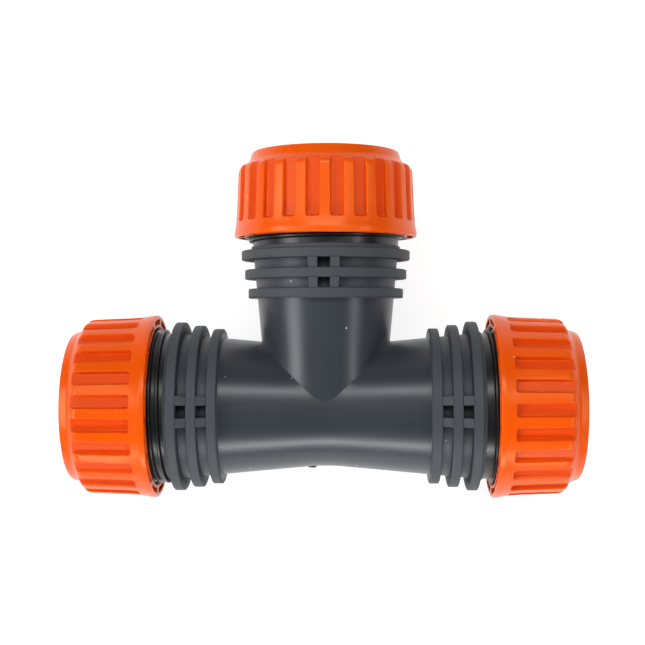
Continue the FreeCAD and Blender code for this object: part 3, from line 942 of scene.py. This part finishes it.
    def ridge_at(self, depth: np.ndarray, angles: np.ndarray) -> np.ndarray:
        """How far the thread's ridge stands in from the bore.

        Args:
            depth: the depth of each row.
            angles: the angles of the columns.

        Returns:
            The ridge's height at each point, in millimetres.
        """
        share = (((angles - 180.0) % 360.0) / 360.0)[None, :]
        turns = np.round((depth - self.ridge_first) / self.lead - share)
        last = np.floor(self.ridge_long / self.lead - share)
        turns = np.clip(turns, 0, last)
        away = np.abs(depth - self.ridge_first - (turns + share) * self.lead)
        tall = np.clip((self.ridge_root - away) / (self.ridge_root - self.ridge_tip), 0.0, 1.0)
        along = (turns + share) * self.lead
        fade = np.minimum(along, self.ridge_long - along) / (self.lead * self.ridge_fade)
        return tall * np.clip(fade, 0.0, 1.0) * self.ridge_tall

    def skin(self, points: np.ndarray, counts: tuple[int, int]) -> bpy.types.Mesh:
        """A closed mesh over rows and columns of points.

        Args:
            points: the points, row after row.
            counts: how many rows and columns there are.

        Returns:
            A smooth mesh whose faces look outward.
        """
        rows, columns = counts
        index = np.arange(rows * columns).reshape(rows, columns)
        below, beside = np.roll(index, -1, axis=0), np.roll(index, -1, axis=1)
        across = np.roll(below, -1, axis=1)
        faces = np.stack([index, beside, across, below], axis=-1).reshape(-1, 4)
        mesh = bpy.data.meshes.new("nut")
        mesh.from_pydata(points.tolist(), [], faces.tolist())
        work = bmesh.new()
        work.from_mesh(mesh)
        bmesh.ops.recalc_face_normals(work, faces=work.faces)
        work.to_mesh(mesh)
        work.free()
        mesh.shade_smooth()
        mesh.set_sharp_from_angle(angle=math.radians(self.sharp_from))
        return mesh


# ---------------------------------------------------------------- the rest of the tee


@dataclass
class CadPieces:
    """The pieces whose CAD shape stays, each with a finish of its own."""

    body: MouldedPlastic = BODY
    ring: MouldedPlastic = RING
    bush: MouldedPlastic = BUSH
    seal: MouldedPlastic = SEAL

    def dress(self) -> list[bpy.types.Object]:
        """Give every kept CAD node its material.

        Returns:
            The nodes that were dressed.
        """
        kinds = (("tee_body", self.body), ("_grip_ring", self.ring), ("_bush", self.bush),
                 ("_seal", self.seal))
        dressed = []
        for ending, finish in kinds:
            material = finish.make()
            for name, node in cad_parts.items():
                if name.endswith(ending):
                    node.data.materials.clear()
                    node.data.materials.append(material)
                    dressed.append(node)
        return dressed


# ---------------------------------------------------------------- the studio


@dataclass
class Softbox:
    """A soft light that looks at the tee.

    Lean is its angle off straight up and heading the way it leans (0 is +X, 90 is +Y), in
    degrees.  Power is in watts.
    """

    name: str
    lean: float
    heading: float
    power: float
    wide: float
    deep: float
    away: float = 1.1
    colour: Colour = (1.0, 1.0, 1.0)

    def build(self) -> bpy.types.Object:
        """Make the light.

        Returns:
            The light's object.
        """
        light = bpy.data.lights.new(self.name, "AREA")
        light.shape, light.size, light.size_y = "RECTANGLE", self.wide, self.deep
        light.energy, light.color = self.power, self.colour
        lamp = bpy.data.objects.new(self.name, light)
        lean, heading = math.radians(self.lean), math.radians(self.heading)
        level = Vector((math.cos(heading), math.sin(heading), 0.0))
        side = Vector((-level.y, level.x, 0.0))
        back = level * math.sin(lean) + Vector((0.0, 0.0, math.cos(lean)))
        turn = Matrix((side, back.cross(side), back)).transposed().to_4x4()
        lamp.matrix_world = Matrix.Translation(back * self.away) @ turn
        bpy.context.scene.collection.objects.link(lamp)
        return lamp


@dataclass
class Studio:
    """The table, the lights round it and the camera above it.

    Eye is where the camera stands, and tilt how it is turned from looking straight down, in
    degrees about X, Y and Z.
    """

    table: TableTop = field(default_factory=TableTop)
    half_table: float = 1.6
    sky: float = 0.09
    sky_colour: Colour = (0.97, 0.985, 1.0)
    lens: float = 65.65
    sensor: float = 36.0
    eye: Triple = (0.00808, 0.02465, 0.34097)
    tilt: Triple = (-0.09, 1.52, -0.15)
    nearest: float = 0.01
    farthest: float = 10.0
    boxes: tuple[Softbox, ...] = (
        Softbox("back_box", 30.0, 90.0, 3.8, 0.66, 0.11),
        Softbox("back_right_box", 30.0, 40.0, 1.2, 0.4, 0.11),
        Softbox("back_left_box", 30.0, 150.0, 1.2, 0.4, 0.11),
        Softbox("back_wall", 78.0, 90.0, 0.7, 1.2, 0.5),
        Softbox("front_box", 68.0, 270.0, 6.2, 0.75, 0.16),
        Softbox("front_left_box", 66.0, 235.0, 2.0, 0.5, 0.15),
        Softbox("front_right_box", 66.0, 305.0, 2.0, 0.5, 0.15),
        Softbox("right_box", 51.0, 0.0, 2.8, 0.8, 0.14),
        Softbox("left_box", 55.0, 180.0, 7.6, 0.8, 0.42),
        Softbox("overhead_box", 0.0, 0.0, 0.7, 0.9, 0.9))

    def build(self) -> None:
        """Set the table, the sky, the lights and the camera."""
        self.lay_table()
        self.light_sky()
        for box in self.boxes:
            box.build()
        self.stand_camera()
        bpy.context.scene.view_settings.view_transform = "Standard"

    def lay_table(self) -> bpy.types.Object:
        """Lay the pale table top under the tee's lowest point.

        Returns:
            The table's object.
        """
        half, level = self.half_table, CAD_BOX[0].z
        corners = [(-half, -half, level), (half, -half, level), (half, half, level),
                   (-half, half, level)]
        mesh = bpy.data.meshes.new("table_top")
        mesh.from_pydata(corners, [], [(0, 1, 2, 3)])
        mesh.materials.append(self.table.make())
        table = bpy.data.objects.new("table_top", mesh)
        bpy.context.scene.collection.objects.link(table)
        return table

    def light_sky(self) -> None:
        """Fill the room with even, neutral light."""
        world = bpy.data.worlds.new("room")
        world.use_nodes = True
        wiring = Wiring(world.node_tree)
        sky = wiring.add("ShaderNodeBackground", {
            "Color": (*self.sky_colour, 1.0), "Strength": self.sky})
        wiring.add("ShaderNodeOutputWorld", {"Surface": sky.outputs[0]})
        bpy.context.scene.world = world

    def stand_camera(self) -> None:
        """Stand the camera over the tee, looking down."""
        data = bpy.data.cameras.new("camera")
        data.lens, data.sensor_width = self.lens, self.sensor
        data.clip_start, data.clip_end = self.nearest, self.farthest
        camera = bpy.data.objects.new("camera", data)
        turn = Euler([math.radians(angle) for angle in self.tilt]).to_matrix().to_4x4()
        camera.matrix_world = Matrix.Translation(self.eye) @ turn
        bpy.context.scene.collection.objects.link(camera)
        bpy.context.scene.camera = camera


def main() -> None:
    """Build the tee's pieces in order, then the studio, and report each."""
    logging.basicConfig(level=logging.INFO, format="%(name)s: %(message)s")
    for piece in CadPieces().dress():
        LOG.info("dressed %s", piece.name)
    orange = NUT.make()
    for arm, roll in NUT_ROLLS.items():
        nut = ScrewNut(arm, roll, orange).build()
        LOG.info("built %s, %d faces", nut.name, len(nut.data.polygons))
    Studio().build()


if __name__ == "__main__":
    main()
